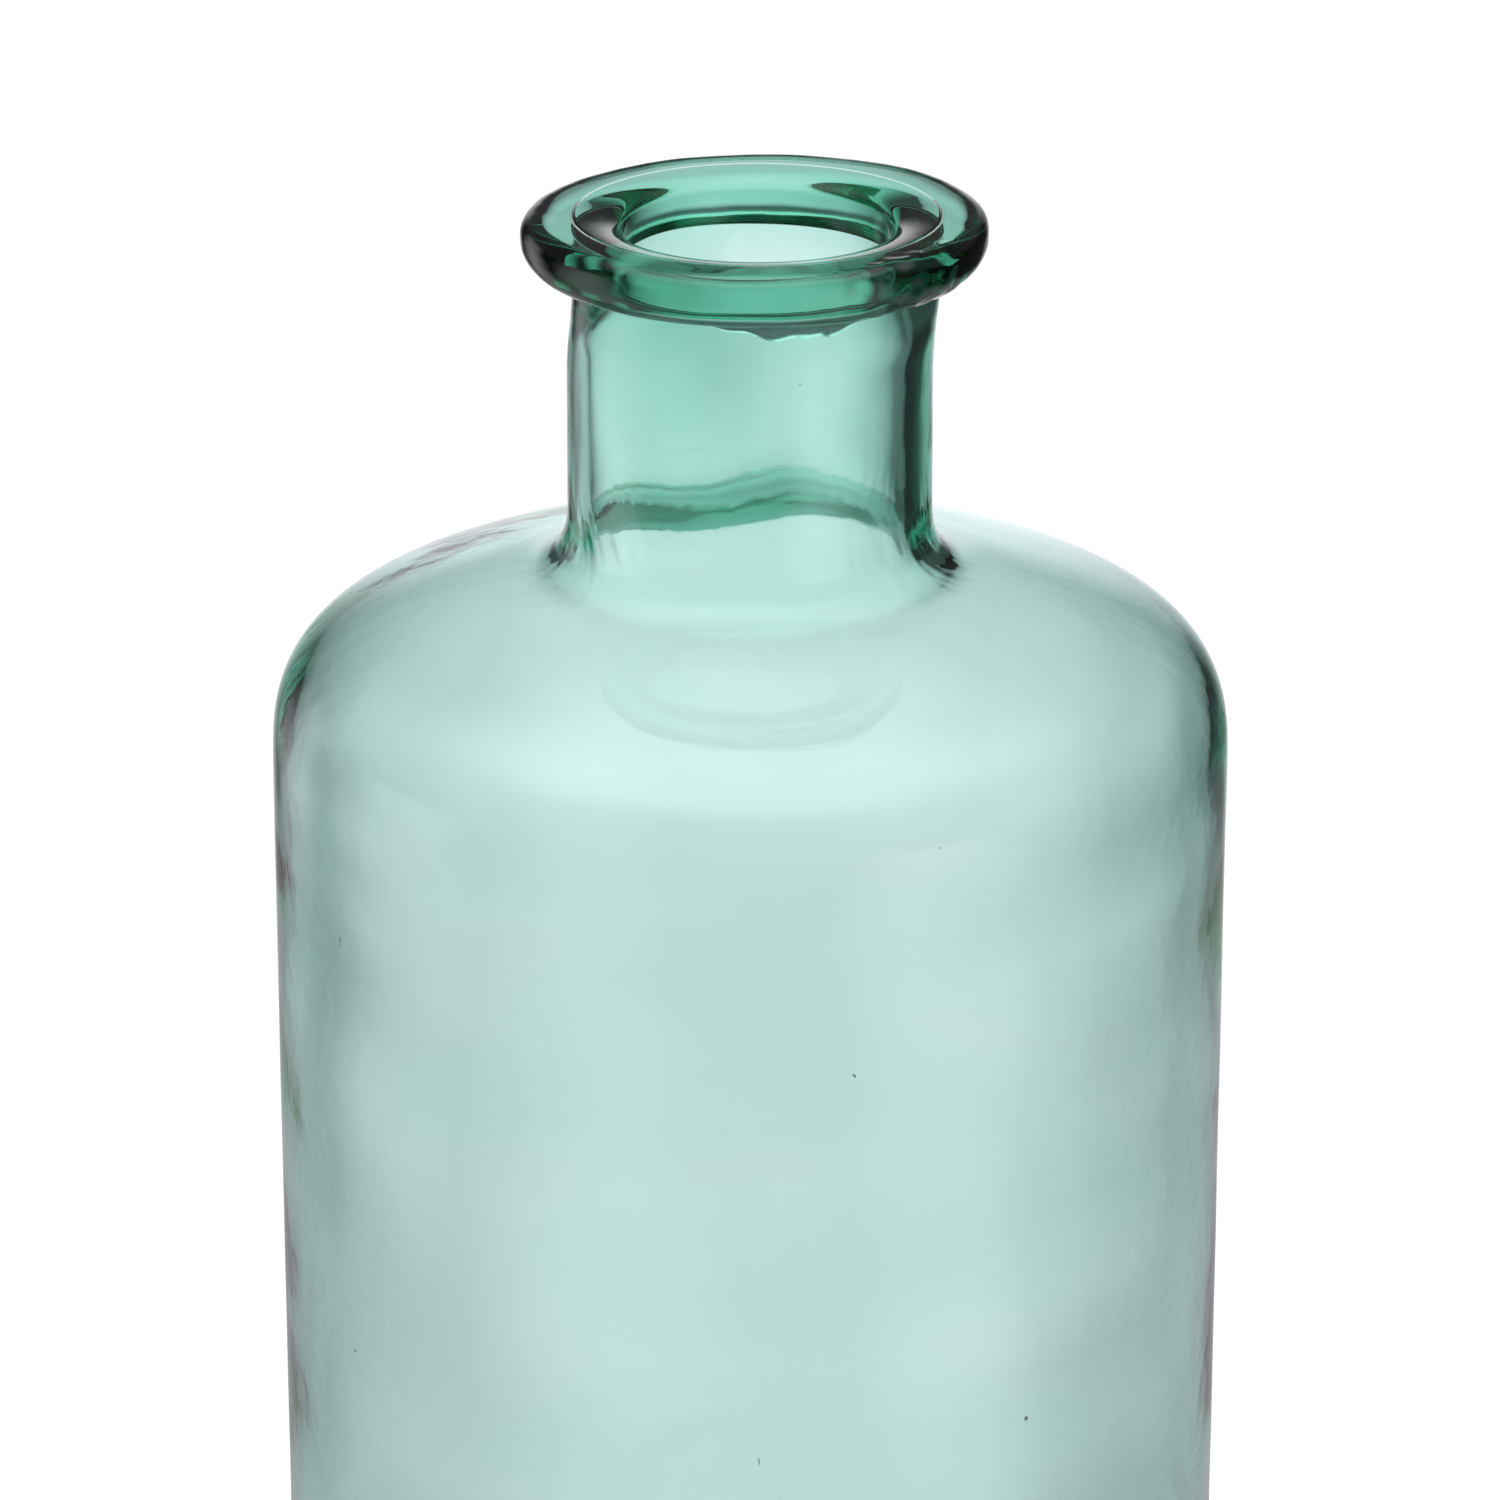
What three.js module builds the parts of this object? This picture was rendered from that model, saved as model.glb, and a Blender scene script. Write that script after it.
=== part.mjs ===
// Antique blown glass bottle: a wide round storage bottle with a broad shoulder, a short thick
// neck and a heavy ring of glass wound round the neck's end as its lip.
// Millimetres, +Z up. The origin is the centre of the ring that the bottle stands on.
import * as THREE from "three";

// Driving dimensions
const HEIGHT = 360;
const BODY_RADIUS = 90;
const WALL = 2.8;
const SEGMENTS = 64;
const ARC_STEP = 18; // most degrees of arc between profile points

// Base
const PUSH_UP_HEIGHT = 14; // rise of the dome pushed up into the base
const FOOT_INNER_RADIUS = 62;
const FOOT_OUTER_RADIUS = 74;
const FLOOR_THICKNESS = 7;
const INNER_HEEL_RADIUS = 12;

// Shoulder: a hollow flare at the neck's foot, a shallow crown and a tight round into the body
const FLARE_START = 301.8; // height where the neck begins to flare
const FLARE_RADIUS = 10.3;
const INNER_FLARE_RADIUS = 11;
const CROWN_RADIUS = 157;
const CROWN_START = 10.8; // slope in degrees where the flare meets the crown
const CROWN_END = 24.4; // slope in degrees where the crown meets the round

// Neck
const NECK_RADIUS = 34;
const NECK_WALL = 4.4;
const THICKENING_START = 336; // height from which the wall thickens towards the mouth

// Mouth and lip
const BORE_RADIUS = 25.2;
const LIP_RADIUS = 43.1;
const LIP_HEIGHT = 10.4;
const LIP_TOP_ROUND = 3.5;
const LIP_BOTTOM_ROUND = 5.9;
const CREST_RADIUS = 36; // inside this radius the top slopes into the mouth
const MOUTH_DEPTH = 3.5; // depth of that slope
const JOINT_GAP = 0.3; // stands for the fused line between neck and lip

const rad = THREE.MathUtils.degToRad;

// Points on an ellipse's arc in the half-plane (radius, height), from one angle to the other, in
// degrees counted anticlockwise from straight outwards.
function arc(centre, radiusR, radiusZ, fromDegrees, toDegrees) {
  const count = Math.max(2, Math.ceil(Math.abs(toDegrees - fromDegrees) / ARC_STEP));
  const points = [];
  for (let i = 0; i <= count; i++) {
    const angle = rad(THREE.MathUtils.lerp(fromDegrees, toDegrees, i / count));
    points.push([centre[0] + radiusR * Math.cos(angle), centre[1] + radiusZ * Math.sin(angle)]);
  }
  return points;
}

// A smooth S-shaped line between two points, level with the axis at both ends: half a cosine wave
// in radius for a thickening wall, or in height for a push-up.
function wave(from, to, count, alongHeight) {
  const points = [];
  for (let i = 0; i <= count; i++) {
    const share = i / count;
    const eased = (1 - Math.cos(Math.PI * share)) / 2;
    const [shareR, shareZ] = alongHeight ? [eased, share] : [share, eased];
    points.push([
      THREE.MathUtils.lerp(from[0], to[0], shareR),
      THREE.MathUtils.lerp(from[1], to[1], shareZ),
    ]);
  }
  return points;
}

// A solid turned about +Z from a profile of [radius, height] points.
function turned(name, profile, material) {
  const points = profile.map(([radius, height]) => new THREE.Vector2(radius, height));
  const geometry = new THREE.LatheGeometry(points, SEGMENTS);
  geometry.rotateX(Math.PI / 2);
  const mesh = new THREE.Mesh(geometry, material);
  mesh.name = name;
  return mesh;
}

// The outline from the neck's foot out to the body wall. The crown and the round keep their centres
// for the inner outline, so that the shoulder has an even wall; only the flare has its own radius.
function shoulderLine(depth, neckRadius, flareRadius) {
  const reach = FLARE_RADIUS + CROWN_RADIUS;
  const crownCentre = [
    NECK_RADIUS + FLARE_RADIUS - reach * Math.sin(rad(CROWN_START)),
    FLARE_START - reach * Math.cos(rad(CROWN_START)),
  ];
  const roundStart = CROWN_RADIUS * Math.sin(rad(CROWN_END)) + crownCentre[0];
  const roundRadius = (BODY_RADIUS - roundStart) / (1 - Math.sin(rad(CROWN_END)));
  const roundCentre = [
    BODY_RADIUS - roundRadius,
    crownCentre[1] + (CROWN_RADIUS - roundRadius) * Math.cos(rad(CROWN_END)),
  ];
  const crownRadius = CROWN_RADIUS - depth;
  const flareCentreR = neckRadius + flareRadius;
  const slope = Math.asin((flareCentreR - crownCentre[0]) / (crownRadius + flareRadius));
  const flareCentreZ = crownCentre[1] + (crownRadius + flareRadius) * Math.cos(slope);
  const degrees = THREE.MathUtils.radToDeg(slope);
  const flare = arc([flareCentreR, flareCentreZ], flareRadius, flareRadius, 180, 270 - degrees);
  const crown = arc(crownCentre, crownRadius, crownRadius, 90 - degrees, 90 - CROWN_END);
  const roundOff = arc(roundCentre, roundRadius - depth, roundRadius - depth, 90 - CROWN_END, 0);
  return [...flare, ...crown.slice(1), ...roundOff.slice(1)];
}

// Height of the lip's and the mouth's common top surface at a radius inside the crest.
function topHeight(radius) {
  const share = (CREST_RADIUS - radius) / (CREST_RADIUS - BORE_RADIUS);
  return HEIGHT - MOUTH_DEPTH * (1 - Math.sqrt(1 - share * share));
}

function bottleBody(material) {
  const heel = BODY_RADIUS - FOOT_OUTER_RADIUS;
  const outside = [
    ...wave([0, PUSH_UP_HEIGHT], [FOOT_INNER_RADIUS, 0], 6, false),
    ...arc([FOOT_OUTER_RADIUS, heel], heel, heel, -90, 0),
    ...shoulderLine(0, NECK_RADIUS, FLARE_RADIUS).reverse(),
  ];
  const slopeWidth = CREST_RADIUS - BORE_RADIUS;
  const neckEdge = THREE.MathUtils.radToDeg(Math.acos((CREST_RADIUS - NECK_RADIUS) / slopeWidth));
  const slopeCentre = [CREST_RADIUS, HEIGHT - MOUTH_DEPTH];
  const mouth = arc(slopeCentre, slopeWidth, MOUTH_DEPTH, 180 - neckEdge, 180);
  const neckInside = NECK_RADIUS - NECK_WALL;
  const inside = [
    ...mouth,
    ...wave([BORE_RADIUS, HEIGHT - MOUTH_DEPTH], [neckInside, THICKENING_START], 6, true).slice(1),
    ...shoulderLine(WALL, neckInside, INNER_FLARE_RADIUS),
    ...arc(
      [BODY_RADIUS - WALL - INNER_HEEL_RADIUS, FLOOR_THICKNESS + INNER_HEEL_RADIUS],
      INNER_HEEL_RADIUS,
      INNER_HEEL_RADIUS,
      0,
      -90,
    ),
    ...wave([FOOT_INNER_RADIUS, FLOOR_THICKNESS], [0, FLOOR_THICKNESS + PUSH_UP_HEIGHT], 6, false),
  ];
  return turned("bottle_body", [...outside, ...inside], material);
}

function appliedLip(material) {
  const underside = HEIGHT - LIP_HEIGHT;
  const jointRadius = NECK_RADIUS + JOINT_GAP;
  const bottomCentre = [LIP_RADIUS - LIP_BOTTOM_ROUND, underside + LIP_BOTTOM_ROUND];
  const topCentre = [LIP_RADIUS - LIP_TOP_ROUND, HEIGHT - LIP_TOP_ROUND];
  const profile = [
    [jointRadius, underside],
    ...arc(bottomCentre, LIP_BOTTOM_ROUND, LIP_BOTTOM_ROUND, -90, 0),
    ...arc(topCentre, LIP_TOP_ROUND, LIP_TOP_ROUND, 0, 90),
    [CREST_RADIUS, HEIGHT],
    [jointRadius, topHeight(jointRadius)],
    [jointRadius, underside],
  ];
  return turned("applied_lip", profile, material);
}

function glass(color, opacity) {
  return new THREE.MeshStandardMaterial({
    color,
    opacity,
    transparent: true,
    roughness: 0.03,
    metalness: 0,
  });
}

const bottle = new THREE.Group();
bottle.add(bottleBody(glass(0xafd4cd, 0.4)));
bottle.add(appliedLip(glass(0x5f9a83, 0.55)));

export default bottle;
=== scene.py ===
"""Looks of the antique blown glass bottle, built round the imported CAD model.

Lengths are in millimetres until a mesh is made, and MM turns them into metres there.
"""

import math
import random

import bpy
import numpy as np
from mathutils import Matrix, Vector, noise


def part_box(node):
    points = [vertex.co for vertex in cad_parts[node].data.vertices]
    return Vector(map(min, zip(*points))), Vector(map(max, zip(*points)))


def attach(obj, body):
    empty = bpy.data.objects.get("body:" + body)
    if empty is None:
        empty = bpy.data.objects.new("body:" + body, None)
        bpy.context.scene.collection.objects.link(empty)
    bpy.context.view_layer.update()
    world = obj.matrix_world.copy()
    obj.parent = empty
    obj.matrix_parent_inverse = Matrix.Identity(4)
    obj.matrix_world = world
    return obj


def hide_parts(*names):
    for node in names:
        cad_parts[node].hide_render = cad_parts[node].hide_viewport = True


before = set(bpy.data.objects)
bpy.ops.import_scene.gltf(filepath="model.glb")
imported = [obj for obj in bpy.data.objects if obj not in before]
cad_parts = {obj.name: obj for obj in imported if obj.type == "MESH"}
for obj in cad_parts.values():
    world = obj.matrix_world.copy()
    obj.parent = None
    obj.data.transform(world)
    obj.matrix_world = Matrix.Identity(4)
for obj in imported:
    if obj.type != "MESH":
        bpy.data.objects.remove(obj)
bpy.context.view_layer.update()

MM = 0.001
WHITE = (1, 1, 1, 1)

# Sizes taken from the frame
body_high = np.array(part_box("bottle_body")[1]) / MM
lip_low, lip_high = (np.array(corner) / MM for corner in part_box("applied_lip"))
BODY_RADIUS = body_high[0]
LIP_RADIUS = lip_high[0]
LIP_UNDERSIDE = lip_low[2]
HEIGHT = lip_high[2]

# The rest of the outline, as the CAD has it
WALL = 2.8
PUSH_UP_HEIGHT = 14
FOOT_INNER_RADIUS = 62
FOOT_OUTER_RADIUS = 74
FLOOR_THICKNESS = 7
INNER_HEEL_RADIUS = 12
FLARE_START = HEIGHT - 58.2
FLARE_RADIUS = 10.3
INNER_FLARE_RADIUS = 11
CROWN_RADIUS = 157
CROWN_START = math.radians(10.8)
CROWN_END = math.radians(24.4)
NECK_RADIUS = 34
NECK_WALL = 4.4
THICKENING_START = HEIGHT - 24
BORE_RADIUS = 25.2
LIP_TOP_ROUND = 3.5
LIP_BOTTOM_ROUND = 5.9
CREST_RADIUS = 36
MOUTH_DEPTH = 3.5
JOINT_GAP = 0.04  # between the two visual pieces, where the real glass is fused
JOINT_REACH = 4 * JOINT_GAP  # faces this near to the neck's radius count as in the joint

# Spacing of the points along the outlines, closer where the glass curves more
BASE_STEP = 5
FOOT_STEP = 4
HEEL_STEP = 2
WALL_STEP = 8
SHOULDER_STEP = 2.2
SHOULDER_END_STEP = 2.4
FLARE_STEP = 0.9
FLARE_END_STEP = 1
NECK_STEP = 1.5
MOUTH_STEP = 0.8
SLOPE_STEP = 0.7
LIP_STEP = 0.6
LIP_BOTTOM_STEP = 0.5
LIP_TOP_STEP = 0.4
SAME_POINT = 1e-6  # points nearer to each other than this are one
SEGMENTS = 280
SOFTENING_PASSES = 8
NECK_RUN = 8  # straight stretches of neck and wall that are softened with the shoulder
WALL_RUN = 24

# How hand blowing left it
LIP_SHIFT = 1.3  # the lip sits this far to +X of the body's axis
SHIFT_START = HEIGHT - 30
BORE_SHIFT = -0.5  # and the neck's hollow this far
THICK_SIDES = (math.radians(-110), math.radians(128))  # directions in which the neck's wall is thickest
THICK_HALF_WIDTH = 0.8  # radians
THICK_EXTRA = 2.8
BODY_TO_NECK = 25  # the inside's unevenness changes from the body's to the neck's over this height

# Unevenness of each surface: layers of (depth, (size across, size upwards), offset of the noise)
OUTSIDE_LAYERS = ((0.16, (50, 30), 0), (0.012, (9, 9), 0))
INSIDE_LAYERS = ((0.75, (70, 26), 300), (0.10, (24, 11), 500))
NECK_INSIDE_LAYERS = ((0.12, (20, 45), 700), (0.03, (5, 14), 900))
LIP_LAYERS = ((0.22, (14, 14), 0), (0.05, (5, 5), 200))
JOINT_FADE = (10, 3)  # the outside's unevenness dies away between these depths below the lip

# Tool marks round the neck's foot: layers of (share, width, place in the noise, length)
MARK_LAYERS = ((1, 2.2, 7, 14), (0.6, 1.2, 3, 6))
MARK_CENTRE = FLARE_START - 1
MARK_REACH = 13
MARK_SLANT = 0.012  # radians for each millimetre upwards
OUTER_MARK_DEPTH = 0.03
INNER_MARK_DEPTH = 0.06
INNER_MARK_TURN = 1  # radians between the marks outside and inside

# The ridge inside the neck's foot, at the back, with a steep underside and a softer top side
RIDGE_HEIGHT = 3.0
RIDGE_DIRECTION = math.radians(100)
RIDGE_HALF_WIDTH = 1.2  # radians
RIDGE_UNDERSIDE = (FLARE_START - 11.5, FLARE_START - 8)
RIDGE_TOP_SIDE = (FLARE_START - 6, FLARE_START + 8)
RIDGE_LAYERS = ((0.1, (7, 7), 40),)

# The lip's edge is oval and slightly three sided, and crumpled where the hot ring was cut off
OUT_OF_ROUND = 0.45
OVAL_DIRECTION = math.radians(45)
THREE_SIDED_DIRECTION = math.radians(50)
CRUMPLE_DIRECTION = math.radians(-48)
CRUMPLE_REACH = 34  # degrees to either side
CRUMPLE_DEPTH = 0.55
CRUMPLE_SIZE = (3.6, 3.6)
STILL_RIM = (0.5, 1)  # unevenness begins this far from the neck and is full this far inside the edge

# The skirt, where the lip's underside runs down the neck
SKIRT_DIRECTION = math.radians(-78)
SKIRT_REACH = 42  # degrees to either side
SKIRT_DEPTH = 3.8
SKIRT_EDGES = (0.5, 3.2)  # distances from the neck between which it dies away
SKIRT_TOP = 2  # and height above the underside
SKIRT_RAGGEDNESS = 0.35
RAGGED_SIZE = (4, 4)

# The crevice that stays open behind the skirt
CREVICE_REACH = 60
CREVICE_HEIGHT = 1.2
CREVICE_RAGGEDNESS = 1.6

# Seeds, the small bubbles in the glass
SEED_COUNT = 26
SEED_DRAW = 11  # starts the random numbers
SEED_COLUMNS = 10
SEED_ROWS = 6
SEED_SIZES = (0.18, 0.42)
SEED_STRETCHES = (1, 1, 1.6, 3)
SEED_HEIGHTS = (30, FLARE_START + 40)
SEEDLESS_FROM = FLARE_START - 50  # no seeds from here up to the flare, where the wall slopes

# The glass
GLASS_INDEX = 1.5
GLASS_COLOUR = (0.02, 0.68, 0.5, 1)
GLASS_DENSITY = 90
FUSED = "fused"  # face attribute: 1 where the two pieces are one glass
RIPPLE_SCALE = 130
RIPPLE_DETAIL = 2
STIPPLE_SCALE = 1100
STIPPLE_DETAIL = 1
STIPPLE_SHARE = 0.12
STIPPLE_FOOT = (FLARE_START - 8) * MM  # this and the next three are in metres
STIPPLE_BEGINS = (STIPPLE_FOOT, STIPPLE_FOOT + 0.006)
STIPPLE_ENDS = (STIPPLE_FOOT + 0.010, STIPPLE_FOOT + 0.022)
BUMP_DISTANCE = 0.00003


# ---------------------------------------------------------------- outlines

def arc(centre, radius_r, radius_z, start, end, step):
    """Points on an ellipse's arc in the (radius, height) plane, angles in degrees from straight outwards."""
    length = abs(math.radians(end - start)) * max(radius_r, radius_z)
    count = max(3, math.ceil(length / step))
    angles = np.radians(np.linspace(start, end, count + 1))
    return [(centre[0] + radius_r * math.cos(a), centre[1] + radius_z * math.sin(a)) for a in angles]


def line(start, end, step):
    """Evenly spaced points on a straight line, both ends included."""
    count = max(1, math.ceil(math.dist(start, end) / step))
    shares = np.linspace(0, 1, count + 1)
    return [tuple(np.array(start) * (1 - s) + np.array(end) * s) for s in shares]


def wave(start, end, step, along_height):
    """Half a cosine wave: in radius for a thickening wall, or in height for a push-up."""
    count = math.ceil(math.dist(start, end) / step)
    points = []
    for share in np.linspace(0, 1, count + 1):
        eased = (1 - math.cos(math.pi * share)) / 2
        share_r, share_z = (eased, share) if along_height else (share, eased)
        points.append((
            start[0] + (end[0] - start[0]) * share_r,
            start[1] + (end[1] - start[1]) * share_z,
        ))
    return points


def joined(*stretches):
    """One outline from several stretches, without the points that they share."""
    outline = []
    for stretch in stretches:
        for point in stretch:
            if not outline or math.dist(point, outline[-1]) > SAME_POINT:
                outline.append(point)
    return outline


def softened(outline):
    """The outline with its changes of curvature spread out, so that none shows as a line in the glass."""
    points = np.array(outline)
    for _ in range(SOFTENING_PASSES):
        points[1:-1] = (points[:-2] + 2 * points[1:-1] + points[2:]) / 4
    return [tuple(point) for point in points]


def shoulder_line(depth, neck_radius, flare_radius):
    """The outline from the neck down over the shoulder into the body wall, that deep in the glass."""
    reach = FLARE_RADIUS + CROWN_RADIUS
    crown_r = NECK_RADIUS + FLARE_RADIUS - reach * math.sin(CROWN_START)
    crown_z = FLARE_START - reach * math.cos(CROWN_START)
    round_start = crown_r + CROWN_RADIUS * math.sin(CROWN_END)
    round_radius = (BODY_RADIUS - round_start) / (1 - math.sin(CROWN_END))
    round_centre = (BODY_RADIUS - round_radius, crown_z + (CROWN_RADIUS - round_radius) * math.cos(CROWN_END))
    crown_radius = CROWN_RADIUS - depth
    flare_r = neck_radius + flare_radius
    slope = math.asin((flare_r - crown_r) / (crown_radius + flare_radius))
    flare_centre = (flare_r, crown_z + (crown_radius + flare_radius) * math.cos(slope))
    start, end = math.degrees(slope), math.degrees(CROWN_END)
    wall_radius = BODY_RADIUS - depth
    return softened(joined(
        line((neck_radius, flare_centre[1] + NECK_RUN), (neck_radius, flare_centre[1]), FLARE_END_STEP),
        arc(flare_centre, flare_radius, flare_radius, 180, 270 - start, FLARE_STEP),
        arc((crown_r, crown_z), crown_radius, crown_radius, 90 - start, 90 - end, SHOULDER_STEP),
        arc(round_centre, round_radius - depth, round_radius - depth, 90 - end, 0, SHOULDER_STEP),
        line(
            (wall_radius, round_centre[1]),
            (wall_radius, round_centre[1] - WALL_RUN),
            SHOULDER_END_STEP,
        ),
    ))


def top_height(radius):
    """Height of the lip's and the mouth's common top at a radius inside the crest."""
    share = (CREST_RADIUS - radius) / (CREST_RADIUS - BORE_RADIUS)
    return HEIGHT - MOUTH_DEPTH * (1 - math.sqrt(1 - share * share))


def body_outlines():
    """The body's outer outline, from the base up to the neck's end, and its inner one, back down."""
    heel = BODY_RADIUS - FOOT_OUTER_RADIUS
    shoulder = shoulder_line(0, NECK_RADIUS, FLARE_RADIUS)[::-1]
    outside = joined(
        wave((0, PUSH_UP_HEIGHT), (FOOT_INNER_RADIUS, 0), BASE_STEP, False),
        line((FOOT_INNER_RADIUS, 0), (FOOT_OUTER_RADIUS, 0), FOOT_STEP),
        arc((FOOT_OUTER_RADIUS, heel), heel, heel, -90, 0, HEEL_STEP),
        line((BODY_RADIUS, heel), shoulder[0], WALL_STEP),
        shoulder,
        line(shoulder[-1], (NECK_RADIUS, LIP_UNDERSIDE), NECK_STEP),
        line((NECK_RADIUS, LIP_UNDERSIDE), (NECK_RADIUS, top_height(NECK_RADIUS)), MOUTH_STEP),
    )
    slope_width = CREST_RADIUS - BORE_RADIUS
    neck_edge = math.degrees(math.acos((CREST_RADIUS - NECK_RADIUS) / slope_width))
    neck_inside = NECK_RADIUS - NECK_WALL
    shoulder = shoulder_line(WALL, neck_inside, INNER_FLARE_RADIUS)
    inner_r = BODY_RADIUS - WALL - INNER_HEEL_RADIUS
    inner_z = FLOOR_THICKNESS + INNER_HEEL_RADIUS
    inside = joined(
        arc(
            (CREST_RADIUS, HEIGHT - MOUTH_DEPTH),
            slope_width,
            MOUTH_DEPTH,
            180 - neck_edge,
            180,
            SLOPE_STEP,
        ),
        wave((BORE_RADIUS, HEIGHT - MOUTH_DEPTH), (neck_inside, THICKENING_START), MOUTH_STEP, True),
        line((neck_inside, THICKENING_START), shoulder[0], NECK_STEP),
        shoulder,
        line(shoulder[-1], (BODY_RADIUS - WALL, inner_z), WALL_STEP),
        arc((inner_r, inner_z), INNER_HEEL_RADIUS, INNER_HEEL_RADIUS, 0, -90, HEEL_STEP),
        line((inner_r, FLOOR_THICKNESS), (FOOT_INNER_RADIUS, FLOOR_THICKNESS), FOOT_STEP),
        wave((FOOT_INNER_RADIUS, FLOOR_THICKNESS), (0, FLOOR_THICKNESS + PUSH_UP_HEIGHT), BASE_STEP, False),
    )
    return outside, inside


def lip_outlines():
    """The lip's free surface, from its underside round to the joint with the neck, and the joint."""
    joint_radius = NECK_RADIUS + JOINT_GAP
    low, high = LIP_UNDERSIDE, HEIGHT
    bottom_centre = (LIP_RADIUS - LIP_BOTTOM_ROUND, low + LIP_BOTTOM_ROUND)
    top_centre = (LIP_RADIUS - LIP_TOP_ROUND, high - LIP_TOP_ROUND)
    joint_top = (joint_radius, top_height(joint_radius))
    free = joined(
        line((joint_radius, low), (bottom_centre[0], low), LIP_STEP),
        arc(bottom_centre, LIP_BOTTOM_ROUND, LIP_BOTTOM_ROUND, -90, 0, LIP_BOTTOM_STEP),
        line((LIP_RADIUS, bottom_centre[1]), (LIP_RADIUS, top_centre[1]), LIP_STEP),
        arc(top_centre, LIP_TOP_ROUND, LIP_TOP_ROUND, 0, 90, LIP_TOP_STEP),
        line((top_centre[0], high), (CREST_RADIUS, high), LIP_STEP),
        line((CREST_RADIUS, high), joint_top, LIP_STEP),
    )
    joint = line(joint_top, (joint_radius, low), MOUTH_STEP)
    return free, joint


# ---------------------------------------------------------------- turned meshes

def turned(outline, shape):
    """Vertices of an outline turned about the axis, ring by ring, after shape has moved each one."""
    outline = np.array(outline)
    ahead = np.roll(outline, -1, axis=0)
    behind = np.roll(outline, 1, axis=0)
    ahead[-1] = outline[-1]
    behind[0] = outline[0]
    along = ahead - behind
    along /= np.linalg.norm(along, axis=1)[:, None]
    angles = np.linspace(0, 2 * math.pi, SEGMENTS, endpoint=False)
    rings = []
    for (radius, height), (along_r, along_z) in zip(outline, along):
        rings.append([shape(radius, height, (along_z, -along_r), a) for a in angles])
    return np.array(rings)


def ring_faces(first_ring, ring_count, closed):
    """Quads between neighbouring rings; closed joins the last ring to the first."""
    faces = []
    spans = ring_count if closed else ring_count - 1
    for ring in range(spans):
        low = first_ring + ring * SEGMENTS
        high = first_ring + ((ring + 1) % ring_count) * SEGMENTS
        for i in range(SEGMENTS):
            j = (i + 1) % SEGMENTS
            faces.append((low + i, low + j, high + j, high + i))
    return faces


def mesh_object(name, points, faces, material):
    mesh = bpy.data.meshes.new(name)
    mesh.from_pydata([tuple(p) for p in np.array(points) * MM], [], faces)
    mesh.validate()
    mesh.polygons.foreach_set("use_smooth", [True] * len(mesh.polygons))
    mesh.materials.append(material)
    mesh.update()
    made = bpy.data.objects.new(name, mesh)
    bpy.context.scene.collection.objects.link(made)
    return made


def placed(radius, height, normal, angle, push):
    """The point at that radius, height and angle, pushed out of the glass along the outline's normal."""
    r = radius + normal[0] * push
    z = height + normal[1] * push
    return (r * math.cos(angle), r * math.sin(angle), z)


def ease(value, start, end):
    """0 up to start and 1 from end on, smooth between them."""
    share = min(1, max(0, (value - start) / (end - start)))
    return share * share * (3 - 2 * share)


def clear_of_joint(height):
    """1 away from the lip, falling to 0 where the neck goes into it, so that the two pieces still fit."""
    start, end = JOINT_FADE
    return 1 - ease(height, LIP_UNDERSIDE - start, LIP_UNDERSIDE - end)


def bell(value, centre, half_width):
    """1 at the centre, falling smoothly to 0 half a width to either side."""
    return 1 - ease(abs(value - centre), 0, half_width)


def rough(x, y, z, size, offset=0):
    """Smooth noise from about -1 to 1, with lumps of that size; size may differ in height."""
    across, tall = size
    return noise.noise(Vector(((x + offset) / across, y / across, z / tall)))


def uneven(x, y, z, layers):
    """The sum of several layers of that noise, each with its own depth."""
    return sum(depth * rough(x, y, z, size, offset) for depth, size, offset in layers)


def turned_from(angle, direction):
    """The angle between the two, from minus to plus half a turn."""
    return math.remainder(angle - direction, 2 * math.pi)


def tool_marks(angle, height):
    """Fine streaks round the neck's foot, where the tools pinched the soft glass."""
    at_foot = bell(height, MARK_CENTRE, MARK_REACH)
    if at_foot == 0:
        return 0
    around = NECK_RADIUS * (angle + MARK_SLANT * (height - FLARE_START))
    streaks = 0
    for share, width, place, length in MARK_LAYERS:
        streaks += share * noise.noise(Vector((around / width, place, height / length)))
    return at_foot * streaks


def wandered(points):
    """The points with the lip and the neck's end moved aside, as the blower left them."""
    moved = []
    for x, y, z in points:
        moved.append((x + LIP_SHIFT * ease(z, SHIFT_START, LIP_UNDERSIDE), y, z))
    return moved


def outer_shape(radius, height, normal, angle):
    x, y, z = radius * math.cos(angle), radius * math.sin(angle), height
    push = uneven(x, y, z, OUTSIDE_LAYERS) + OUTER_MARK_DEPTH * tool_marks(angle, height)
    push *= clear_of_joint(height)
    return placed(radius, height, normal, angle, push)


def foot_ridge(x, y, z, angle):
    """Height of the ridge inside the neck's foot."""
    around = bell(turned_from(angle, RIDGE_DIRECTION), 0, RIDGE_HALF_WIDTH)
    upwards = ease(z, *RIDGE_UNDERSIDE) * (1 - ease(z, *RIDGE_TOP_SIDE))
    return RIDGE_HEIGHT * around * upwards * (1 + uneven(x, y, z, RIDGE_LAYERS))


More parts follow.
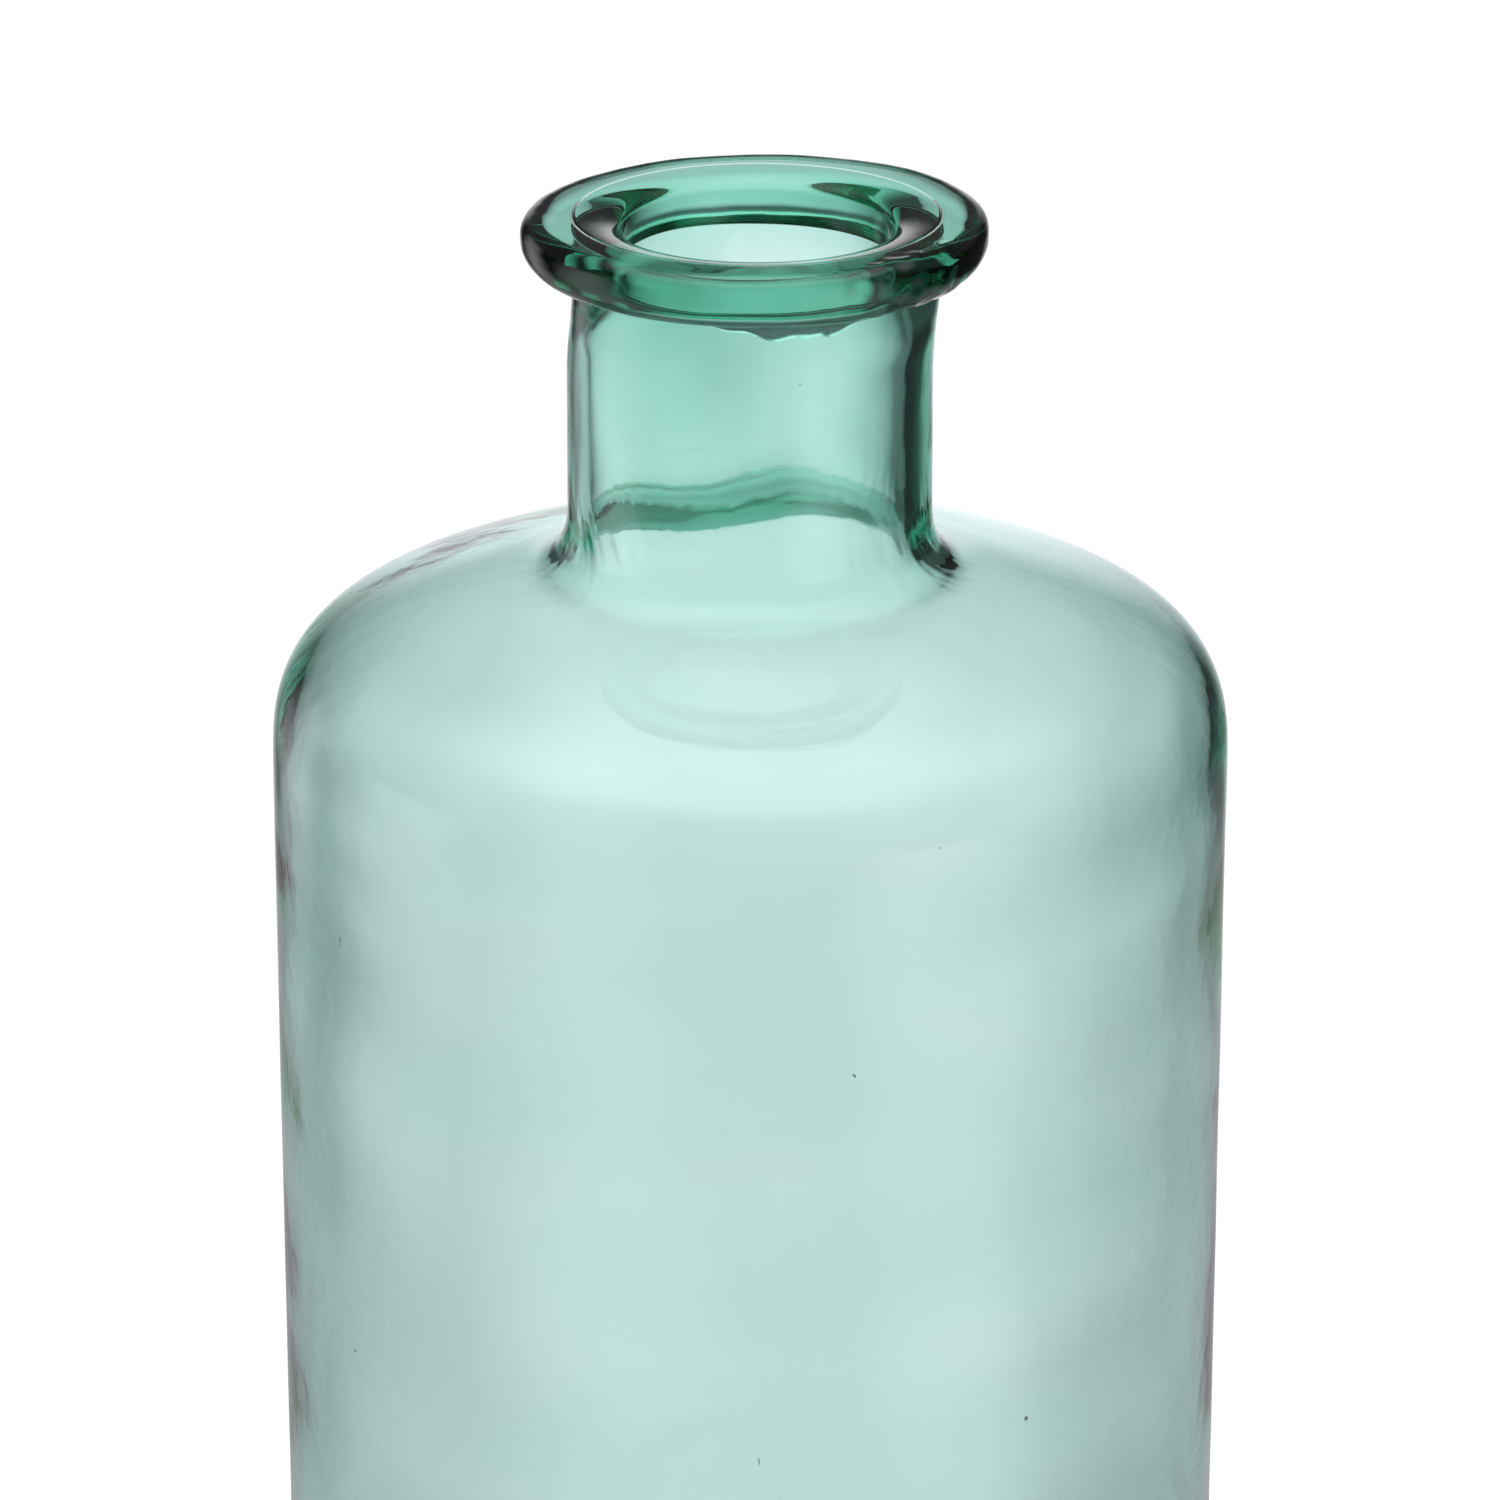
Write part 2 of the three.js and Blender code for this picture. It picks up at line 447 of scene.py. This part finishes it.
def inner_shape(radius, height, normal, angle):
    x, y, z = radius * math.cos(angle), radius * math.sin(angle), height
    in_neck = ease(height, FLARE_START - BODY_TO_NECK, FLARE_START)
    below_mouth = 1 - ease(height, THICKENING_START, HEIGHT - MOUTH_DEPTH)
    push = (1 - in_neck) * uneven(x, y, z, INSIDE_LAYERS)
    push += in_neck * uneven(x, y, z, NECK_INSIDE_LAYERS)
    push += INNER_MARK_DEPTH * tool_marks(angle + INNER_MARK_TURN, height)
    push += foot_ridge(x, y, z, angle)
    for side in THICK_SIDES:
        beside = bell(turned_from(angle, side), 0, THICK_HALF_WIDTH)
        push += THICK_EXTRA * beside * ease(height, FLARE_START, THICKENING_START)
    x, y, z = placed(radius, height, normal, angle, push * below_mouth)
    return (x + BORE_SHIFT * in_neck * below_mouth, y, z)


def lip_shape(radius, height, normal, angle):
    """Uneven round its edge, and crumpled at one side where the hot ring was cut off."""
    x, y, z = radius * math.cos(angle), radius * math.sin(angle), height
    near_neck, near_edge = STILL_RIM
    outward = ease(radius, NECK_RADIUS + near_neck, LIP_RADIUS - near_edge)
    two_sided = math.cos(2 * (angle - OVAL_DIRECTION))
    three_sided = math.cos(3 * (angle - THREE_SIDED_DIRECTION))
    widening = outward * OUT_OF_ROUND * (two_sided + three_sided)
    at_cut = bell(math.degrees(turned_from(angle, CRUMPLE_DIRECTION)), 0, CRUMPLE_REACH)
    crumple = CRUMPLE_DEPTH * at_cut * rough(x, y, z, CRUMPLE_SIZE)
    push = outward * (uneven(x, y, z, LIP_LAYERS) + crumple)
    in_front = bell(math.degrees(turned_from(angle, SKIRT_DIRECTION)), 0, SKIRT_REACH)
    beside_neck = 1 - ease(radius, *(NECK_RADIUS + edge for edge in SKIRT_EDGES))
    low = 1 - ease(height, LIP_UNDERSIDE, LIP_UNDERSIDE + SKIRT_TOP)
    ragged = 1 + SKIRT_RAGGEDNESS * rough(x, y, 0, RAGGED_SIZE)
    skirt = SKIRT_DEPTH * in_front * beside_neck * low * ragged
    return placed(radius + widening, height - skirt, normal, angle, push)


def plain_shape(radius, height, normal, angle):
    return placed(radius, height, normal, angle, 0)


def mark_fused(piece):
    """Marks the faces that lie in the fused joint between neck and lip.

    Low down at the front the ring only lies against the neck, so a ragged crevice stays open there.
    """
    values = []
    for polygon in piece.data.polygons:
        x, y, z = polygon.center / MM
        x -= LIP_SHIFT
        radius = math.hypot(x, y)
        front = bell(math.degrees(math.atan2(y, x) - SKIRT_DIRECTION), 0, CREVICE_REACH)
        ragged = CREVICE_HEIGHT + CREVICE_RAGGEDNESS * rough(x, y, 0, RAGGED_SIZE)
        crevice = LIP_UNDERSIDE + front * ragged
        flat = abs(radius - NECK_RADIUS) < JOINT_REACH
        values.append(float(flat and crevice < z < top_height(NECK_RADIUS)))
    attribute = piece.data.attributes.new(FUSED, "FLOAT", "FACE")
    attribute.data.foreach_set("value", values)


def seed(centre, across, tall):
    """One bubble: the points and faces of a small ball whose faces look into its hollow."""
    points = [(centre[0], centre[1], centre[2] - tall)]
    for row in range(1, SEED_ROWS):
        level = -math.pi / 2 + math.pi * row / SEED_ROWS
        for column in range(SEED_COLUMNS):
            angle = 2 * math.pi * column / SEED_COLUMNS
            points.append((
                centre[0] + across * math.cos(level) * math.cos(angle),
                centre[1] + across * math.cos(level) * math.sin(angle),
                centre[2] + tall * math.sin(level),
            ))
    points.append((centre[0], centre[1], centre[2] + tall))
    faces = []
    top = len(points) - 1
    last = 1 + (SEED_ROWS - 2) * SEED_COLUMNS
    for column in range(SEED_COLUMNS):
        following = (column + 1) % SEED_COLUMNS
        faces.append((0, 1 + column, 1 + following))
        for low in range(1, last, SEED_COLUMNS):
            high = low + SEED_COLUMNS
            faces.append((low + column, high + column, high + following, low + following))
        faces.append((top, last + following, last + column))
    return points, faces


def seeds():
    """Small bubbles spread through the wall, some drawn out upwards as the glass was blown."""
    chance = random.Random(SEED_DRAW)
    made = []
    for _ in range(SEED_COUNT):
        angle = chance.uniform(0, 2 * math.pi)
        height = chance.uniform(*SEED_HEIGHTS)
        in_neck = height > FLARE_START
        if SEEDLESS_FROM < height <= FLARE_START:
            continue
        depth = NECK_WALL if in_neck else WALL
        radius = (NECK_RADIUS if in_neck else BODY_RADIUS) - depth / 2
        size = chance.uniform(*SEED_SIZES)
        stretch = chance.choice(SEED_STRETCHES)
        centre = (radius * math.cos(angle), radius * math.sin(angle), height)
        made.append(seed(centre, size, size * stretch))
    return made


def make_body(material):
    outside, inside = body_outlines()
    crown = (0, 0, outside[0][1])
    floor = (0, 0, inside[-1][1])
    outer = turned(outside[1:], outer_shape)
    inner = turned(inside[1:-1], inner_shape)  # its first point is the outside's last
    rings = np.concatenate([outer, inner])
    points = [*rings.reshape(-1, 3), crown, floor]
    faces = ring_faces(0, len(rings), False)
    crown_index, floor_index = len(points) - 2, len(points) - 1
    last = (len(rings) - 1) * SEGMENTS
    for i in range(SEGMENTS):
        j = (i + 1) % SEGMENTS
        faces.append((crown_index, j, i))
        faces.append((floor_index, last + i, last + j))
    for bubble_points, bubble_faces in seeds():
        first = len(points)
        points.extend(bubble_points)
        faces.extend(tuple(first + corner for corner in face) for face in bubble_faces)
    piece = mesh_object("bottle_glass_body", wandered(points), faces, material)
    mark_fused(piece)
    return piece


def make_lip(material):
    free, joint = lip_outlines()
    surface = turned(free, lip_shape)
    inside_joint = turned(joint[1:-1], plain_shape)
    rings = np.concatenate([surface, inside_joint])
    points = wandered(rings.reshape(-1, 3))
    piece = mesh_object("bottle_glass_lip", points, ring_faces(0, len(rings), True), material)
    mark_fused(piece)
    return piece


# ---------------------------------------------------------------- materials

def math_node(nodes, links, operation, *values):
    """A Math node whose inputs are sockets or numbers; returns its output."""
    node = nodes.new("ShaderNodeMath")
    node.operation = operation
    for socket, value in zip(node.inputs, values):
        if isinstance(value, (int, float)):
            socket.default_value = value
        else:
            links.new(value, socket)
    return node.outputs[0]


def faded(nodes, links, value, start, end, low, high):
    """low up to start, high from end on, and smooth between them."""
    node = nodes.new("ShaderNodeMapRange")
    node.interpolation_type = "SMOOTHSTEP"
    links.new(value, node.inputs["Value"])
    for name, number in (("From Min", start), ("From Max", end), ("To Min", low), ("To Max", high)):
        node.inputs[name].default_value = number
    return node.outputs["Result"]


def noise_texture(nodes, links, place, scale, detail):
    texture = nodes.new("ShaderNodeTexNoise")
    texture.inputs["Scale"].default_value = scale
    texture.inputs["Detail"].default_value = detail
    links.new(place, texture.inputs["Vector"])
    return texture.outputs["Fac"]


def surface_bump(nodes, links):
    """Faint ripples all over and a stippled skin round the neck's foot, where the tools chilled it."""
    place = nodes.new("ShaderNodeTexCoord").outputs["Object"]
    split = nodes.new("ShaderNodeSeparateXYZ")
    links.new(place, split.inputs["Vector"])
    above = faded(nodes, links, split.outputs["Z"], *STIPPLE_BEGINS, 0, 1)
    below = faded(nodes, links, split.outputs["Z"], *STIPPLE_ENDS, 1, 0)
    stipple = noise_texture(nodes, links, place, STIPPLE_SCALE, STIPPLE_DETAIL)
    ripple = noise_texture(nodes, links, place, RIPPLE_SCALE, RIPPLE_DETAIL)
    band = math_node(nodes, links, "MULTIPLY", above, below)
    skin = math_node(nodes, links, "MULTIPLY", band, stipple)
    height = math_node(nodes, links, "MULTIPLY_ADD", skin, STIPPLE_SHARE, ripple)
    bump = nodes.new("ShaderNodeBump")
    bump.inputs["Strength"].default_value = 1
    bump.inputs["Distance"].default_value = BUMP_DISTANCE
    links.new(height, bump.inputs["Height"])
    return bump.outputs["Normal"]


def glass_material():
    material = bpy.data.materials.new("blown_glass")
    material.use_nodes = True
    nodes, links = material.node_tree.nodes, material.node_tree.links
    shader = nodes["Principled BSDF"]
    shader.inputs["Base Color"].default_value = WHITE
    shader.inputs["Transmission Weight"].default_value = 1
    fused = nodes.new("ShaderNodeAttribute")
    fused.attribute_name = FUSED
    index = nodes.new("ShaderNodeMapRange")
    index.inputs["To Min"].default_value = GLASS_INDEX
    index.inputs["To Max"].default_value = 1
    links.new(fused.outputs["Fac"], index.inputs["Value"])
    links.new(index.outputs["Result"], shader.inputs["IOR"])
    shader.inputs["Roughness"].default_value = 0
    links.new(surface_bump(nodes, links), shader.inputs["Normal"])
    absorption = nodes.new("ShaderNodeVolumeAbsorption")
    absorption.inputs["Color"].default_value = GLASS_COLOUR
    absorption.inputs["Density"].default_value = GLASS_DENSITY
    links.new(absorption.outputs["Volume"], nodes["Material Output"].inputs["Volume"])
    return material


# ---------------------------------------------------------------- stage

# The studio that the glass shows. Bands of light run outwards from under the bottle, over the floor
# and up to the horizon, behind it in the directions that it is seen from, and the dark between them
# draws its edges. Each band is (direction, spread, brightness near the bottle, brightness further
# out). The direction is in degrees anticlockwise from +X; the camera looks along +Y, which is 90. The
# spread is how much the band's half width grows for each metre further out.
BANDS = (
    (90, 0.36, 0.98, 1.15),
    (135, 0.2, 0.45, 0.75),
    (180, 0.36, 0.95, 1.0),
    (315, 0.36, 0.95, 1.0),
)
BAND_START = 0.08  # half width of a band at the bottle's axis, in metres
BAND_RISE = 0.02  # a band's light rises over this much more than its width at the axis
NEAREST = 0.001  # keeps a band's width above nothing on the bottle's other side
BAND_EDGE = (0.1, 1.35)  # where a band begins to fade and ends, in half widths
STUDIO_TINT = (0.965, 0.95, 1.0)
NEAR_FLOOR = (0.5, 0.85)  # metres over which the light between the bands dies away
NEAR_LEVEL = 0.45
FAR_LEVEL = 0.04
HORIZON_FADE = (4, 15)  # degrees above the horizon where the bands end
CEILING_LEVEL = 0.12
SOFTBOX_LEVEL = 1.6
SOFTBOX_EDGE = (38, 72)  # degrees above the horizon where the overhead light begins
FLOOR_GLOW = 0.55
FLOOR_RADIUS = 6  # metres
FLOOR_SIDES = 96
FLOOR_COLOUR = (0.9, 0.9, 0.9, 1)
FLOOR_ROUGHNESS = 0.9


def bands_level(nodes, links, vector, band_start, nearness):
    """Brightness of the bands of light at a place on the floor, or in a direction, where nearness is 0."""
    level = FAR_LEVEL
    for degrees, spread, near, far in BANDS:
        angle = math.radians(degrees)
        ahead = along(nodes, links, vector, angle)
        aside = math_node(nodes, links, "ABSOLUTE", along(nodes, links, vector, angle + math.pi / 2))
        reach = math_node(nodes, links, "MAXIMUM", ahead, NEAREST)
        half_width = math_node(nodes, links, "MULTIPLY_ADD", reach, spread, band_start)
        share = math_node(nodes, links, "DIVIDE", aside, half_width)
        across = faded(nodes, links, share, *BAND_EDGE, 1, 0)
        begun = faded(nodes, links, ahead, -band_start, band_start + BAND_RISE, 0, 1)
        brightness = math_node(nodes, links, "MULTIPLY_ADD", nearness, near - far, far)
        shape = math_node(nodes, links, "MULTIPLY", across, begun)
        band = math_node(nodes, links, "MULTIPLY", shape, brightness)
        level = math_node(nodes, links, "MAXIMUM", band, level)
    return level


def along(nodes, links, vector, angle):
    """How far a vector reaches in the level direction at that angle."""
    product = nodes.new("ShaderNodeVectorMath")
    product.operation = "DOT_PRODUCT"
    links.new(vector, product.inputs[0])
    product.inputs[1].default_value = (math.cos(angle), math.sin(angle), 0)
    return product.outputs["Value"]


def tinted(nodes, links, level):
    """The studio's faintly blue white at that brightness."""
    scale = nodes.new("ShaderNodeVectorMath")
    scale.operation = "SCALE"
    scale.inputs[0].default_value = STUDIO_TINT
    links.new(level, scale.inputs["Scale"])
    return scale.outputs["Vector"]


def floor_material():
    """Seen directly it is a plain white floor. In the glass it has the studio's bright and dark sides."""
    material = bpy.data.materials.new("pale_floor")
    material.use_nodes = True
    nodes, links = material.node_tree.nodes, material.node_tree.links
    plain = nodes["Principled BSDF"]
    plain.inputs["Base Color"].default_value = FLOOR_COLOUR
    plain.inputs["Roughness"].default_value = FLOOR_ROUGHNESS
    plain.inputs["Specular IOR Level"].default_value = 0
    plain.inputs["Emission Color"].default_value = WHITE
    plain.inputs["Emission Strength"].default_value = FLOOR_GLOW
    place = nodes.new("ShaderNodeTexCoord").outputs["Object"]
    distance = nodes.new("ShaderNodeVectorMath")
    distance.operation = "LENGTH"
    links.new(place, distance.inputs[0])
    nearness = faded(nodes, links, distance.outputs["Value"], *NEAR_FLOOR, 1, 0)
    between = math_node(nodes, links, "MULTIPLY", nearness, NEAR_LEVEL)
    bands = bands_level(nodes, links, place, BAND_START, nearness)
    level = math_node(nodes, links, "MAXIMUM", bands, between)
    glow = nodes.new("ShaderNodeEmission")
    links.new(tinted(nodes, links, level), glow.inputs["Color"])
    seen = nodes.new("ShaderNodeLightPath").outputs["Is Camera Ray"]
    mix = nodes.new("ShaderNodeMixShader")
    links.new(seen, mix.inputs["Fac"])
    links.new(glow.outputs["Emission"], mix.inputs[1])
    links.new(plain.outputs["BSDF"], mix.inputs[2])
    links.new(mix.outputs["Shader"], nodes["Material Output"].inputs["Surface"])
    return material


def make_floor():
    bpy.ops.mesh.primitive_circle_add(
        vertices=FLOOR_SIDES,
        radius=FLOOR_RADIUS,
        fill_type="NGON",
        location=(0, 0, 0),
    )
    floor = bpy.context.object
    floor.name = "floor"
    floor.data.materials.append(floor_material())


def make_world():
    """White where the camera sees it; bands, a dim ceiling and an overhead light for everything else."""
    world = bpy.data.worlds.new("studio")
    world.use_nodes = True
    nodes, links = world.node_tree.nodes, world.node_tree.links
    direction = nodes.new("ShaderNodeTexCoord").outputs["Generated"]
    split = nodes.new("ShaderNodeSeparateXYZ")
    links.new(direction, split.inputs["Vector"])
    rise = math_node(nodes, links, "ARCSINE", split.outputs["Z"])
    horizon = [math.radians(degrees) for degrees in HORIZON_FADE]
    softbox = [math.radians(degrees) for degrees in SOFTBOX_EDGE]
    low_share = faded(nodes, links, rise, *horizon, 1, 0)
    low = math_node(nodes, links, "MULTIPLY", bands_level(nodes, links, direction, 0, 0), low_share)
    ceiling = faded(nodes, links, rise, *horizon, 0, CEILING_LEVEL)
    overhead = faded(nodes, links, rise, *softbox, 0, SOFTBOX_LEVEL - CEILING_LEVEL)
    level = math_node(nodes, links, "ADD", math_node(nodes, links, "ADD", low, ceiling), overhead)
    studio = nodes.new("ShaderNodeBackground")
    links.new(tinted(nodes, links, level), studio.inputs["Color"])
    seen = nodes.new("ShaderNodeLightPath").outputs["Is Camera Ray"]
    mix = nodes.new("ShaderNodeMixShader")
    plain = nodes["Background"]
    plain.inputs["Color"].default_value = WHITE
    links.new(seen, mix.inputs["Fac"])
    links.new(studio.outputs["Background"], mix.inputs[1])
    links.new(plain.outputs["Background"], mix.inputs[2])
    links.new(mix.outputs["Shader"], nodes["World Output"].inputs["Surface"])
    bpy.context.scene.world = world


CAMERA_DISTANCE = 1.35  # metres
CAMERA_TILT = math.radians(20.4)
TARGET_BELOW_TOP = 105.3
FIELD_OF_VIEW = math.radians(11.98)
LIGHT_BOUNCES = 32  # through both walls, seeds and lip
MIRROR_BOUNCES = 24


def make_camera():
    data = bpy.data.cameras.new("camera")
    data.angle = FIELD_OF_VIEW
    camera = bpy.data.objects.new("camera", data)
    target = Vector((0, 0, (HEIGHT - TARGET_BELOW_TOP) * MM))
    back = Vector((0, -math.cos(CAMERA_TILT), math.sin(CAMERA_TILT)))
    camera.location = target + back * CAMERA_DISTANCE
    camera.rotation_euler = (-back).to_track_quat("-Z", "Y").to_euler()
    bpy.context.scene.collection.objects.link(camera)
    bpy.context.scene.camera = camera


glass = glass_material()
body = make_body(glass)
lip = make_lip(glass)
for piece, node, slot in ((body, "bottle_body", "bottle_glass"), (lip, "applied_lip", "lip_glass")):
    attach(piece, "root")
    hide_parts(node)

make_floor()
make_world()
make_camera()
scene = bpy.context.scene
scene.cycles.max_bounces = LIGHT_BOUNCES
scene.cycles.glossy_bounces = MIRROR_BOUNCES
scene.cycles.transmission_bounces = LIGHT_BOUNCES
scene.view_settings.view_transform = "Standard"
